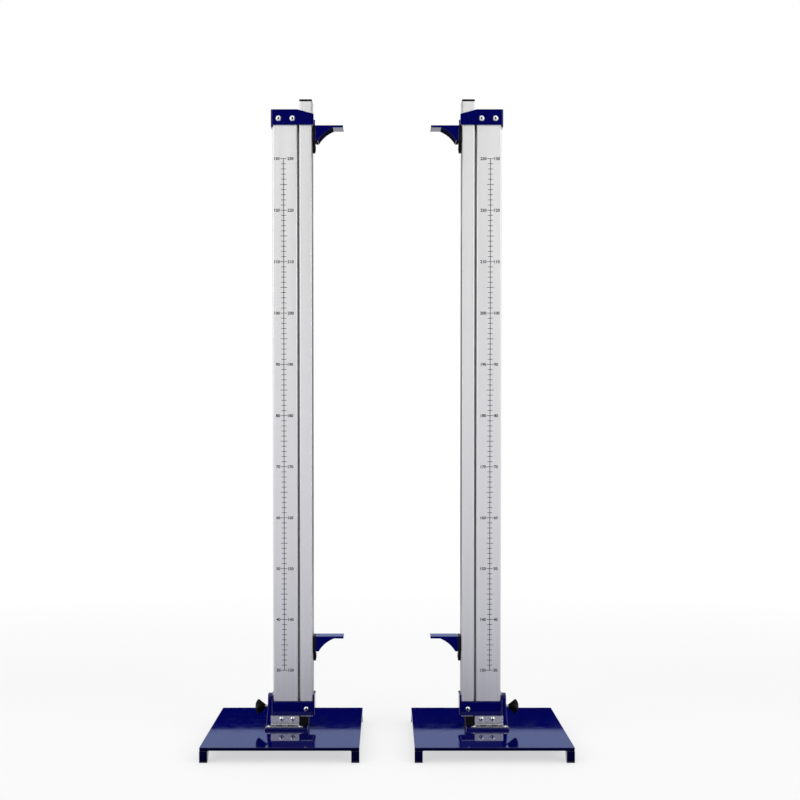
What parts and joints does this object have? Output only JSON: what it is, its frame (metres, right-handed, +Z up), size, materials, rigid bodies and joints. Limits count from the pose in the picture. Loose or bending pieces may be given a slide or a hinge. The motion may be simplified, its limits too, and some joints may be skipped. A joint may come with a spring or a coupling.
{
  "type": "high jump standards",
  "caption": "Free-standing high jump standards: ruled columns that fold on hinged base plates, with sliding masts that carry stepped bar rests.",
  "frame": {"origin": "on the floor midway between the two standards, at the middle of their depth", "axes": "+Z up along the masts, +X from the left standard to the right one, -Y towards the side that carries the printed scale, which is the side that the uprights fold to"},
  "size_m": [0.694, 0.372, 1.258],
  "materials": {
    "blue_paint": "high gloss dark blue enamel",
    "bright_zinc": "bright zinc plate",
    "anodised_aluminium": "satin silver anodised",
    "black_plastic": "moulded satin black",
    "black_steel": "black oxide"
  },
  "bodies": {
    "bases": {"left_base_plate": "blue_paint", "left_foot_front_outer": "blue_paint", "left_foot_front_inner": "blue_paint", "left_foot_back_outer": "blue_paint", "left_foot_back_inner": "blue_paint", "left_hinge_pad": "blue_paint", "left_hinge_lower_leaf": "bright_zinc", "left_hinge_pin": "bright_zinc", "left_lower_leaf_screw_inner": "bright_zinc", "left_lower_leaf_screw_outer": "bright_zinc", "right_base_plate": "blue_paint", "right_foot_front_outer": "blue_paint", "right_foot_front_inner": "blue_paint", "right_foot_back_outer": "blue_paint", "right_foot_back_inner": "blue_paint", "right_hinge_pad": "blue_paint", "right_hinge_lower_leaf": "bright_zinc", "right_hinge_pin": "bright_zinc", "right_lower_leaf_screw_inner": "bright_zinc", "right_lower_leaf_screw_outer": "bright_zinc"},
    "left_upright": {"left_foot_block": "black_steel", "left_hinge_upper_leaf": "bright_zinc", "left_upper_leaf_screw_inner": "bright_zinc", "left_upper_leaf_screw_outer": "bright_zinc", "left_socket": "blue_paint", "left_socket_screw": "bright_zinc", "left_column": "anodised_aluminium", "left_head_clamp": "blue_paint", "left_clamp_bolt_inner": "bright_zinc", "left_clamp_bolt_outer": "bright_zinc"},
    "left_raised_mast": {"left_mast": "anodised_aluminium", "left_mast_cap": "black_plastic", "left_upper_rest": "blue_paint", "left_lower_rest": "blue_paint", "left_upper_rest_mount": "black_plastic", "left_lower_rest_mount": "black_plastic", "left_upper_rest_screw": "black_steel", "left_lower_rest_screw": "black_steel"},
    "left_lock_screw": {"left_lock_knob": "black_plastic"},
    "left_mast_lock_screw": {"left_mast_knob": "black_plastic"},
    "right_upright": {"right_foot_block": "black_steel", "right_hinge_upper_leaf": "bright_zinc", "right_upper_leaf_screw_inner": "bright_zinc", "right_upper_leaf_screw_outer": "bright_zinc", "right_socket": "blue_paint", "right_socket_screw": "bright_zinc", "right_column": "anodised_aluminium", "right_head_clamp": "blue_paint", "right_clamp_bolt_inner": "bright_zinc", "right_clamp_bolt_outer": "bright_zinc"},
    "right_raised_mast": {"right_mast": "anodised_aluminium", "right_mast_cap": "black_plastic", "right_upper_rest": "blue_paint", "right_lower_rest": "blue_paint", "right_upper_rest_mount": "black_plastic", "right_lower_rest_mount": "black_plastic", "right_upper_rest_screw": "black_steel", "right_lower_rest_screw": "black_steel"},
    "right_lock_screw": {"right_lock_knob": "black_plastic"},
    "right_mast_lock_screw": {"right_mast_knob": "black_plastic"}
  },
  "joints": [
    {"name": "left_fold", "type": "hinge", "parent": "bases", "child": "left_upright", "pos_m": [-0.2004, -0.0214, 0.0361], "axis": [1, 0, 0], "range_deg": [0, 90]},
    {"name": "left_mast_slide", "type": "slide", "parent": "left_upright", "child": "left_raised_mast", "axis": [0, 0, 1], "range_m": [0, 1.091]},
    {"name": "left_lock_turn", "type": "hinge", "parent": "bases", "child": "left_lock_screw", "pos_m": [-0.2276, 0.0075, 0.067], "axis": [-1, 0, 0], "range_deg": [0, 540]},
    {"name": "left_mast_lock_turn", "type": "hinge", "parent": "left_upright", "child": "left_mast_lock_screw", "pos_m": [-0.1585, 0.0328, 1.21925], "axis": [0, 1, 0], "range_deg": [0, 540]},
    {"name": "right_fold", "type": "hinge", "parent": "bases", "child": "right_upright", "pos_m": [0.2004, -0.0214, 0.0361], "axis": [1, 0, 0], "range_deg": [0, 90]},
    {"name": "right_mast_slide", "type": "slide", "parent": "right_upright", "child": "right_raised_mast", "axis": [0, 0, 1], "range_m": [0, 1.091]},
    {"name": "right_lock_turn", "type": "hinge", "parent": "bases", "child": "right_lock_screw", "pos_m": [0.2276, 0.0075, 0.067], "axis": [1, 0, 0], "range_deg": [0, 540]},
    {"name": "right_mast_lock_turn", "type": "hinge", "parent": "right_upright", "child": "right_mast_lock_screw", "pos_m": [0.1585, 0.0328, 1.21925], "axis": [0, 1, 0], "range_deg": [0, 540]}
  ]
}
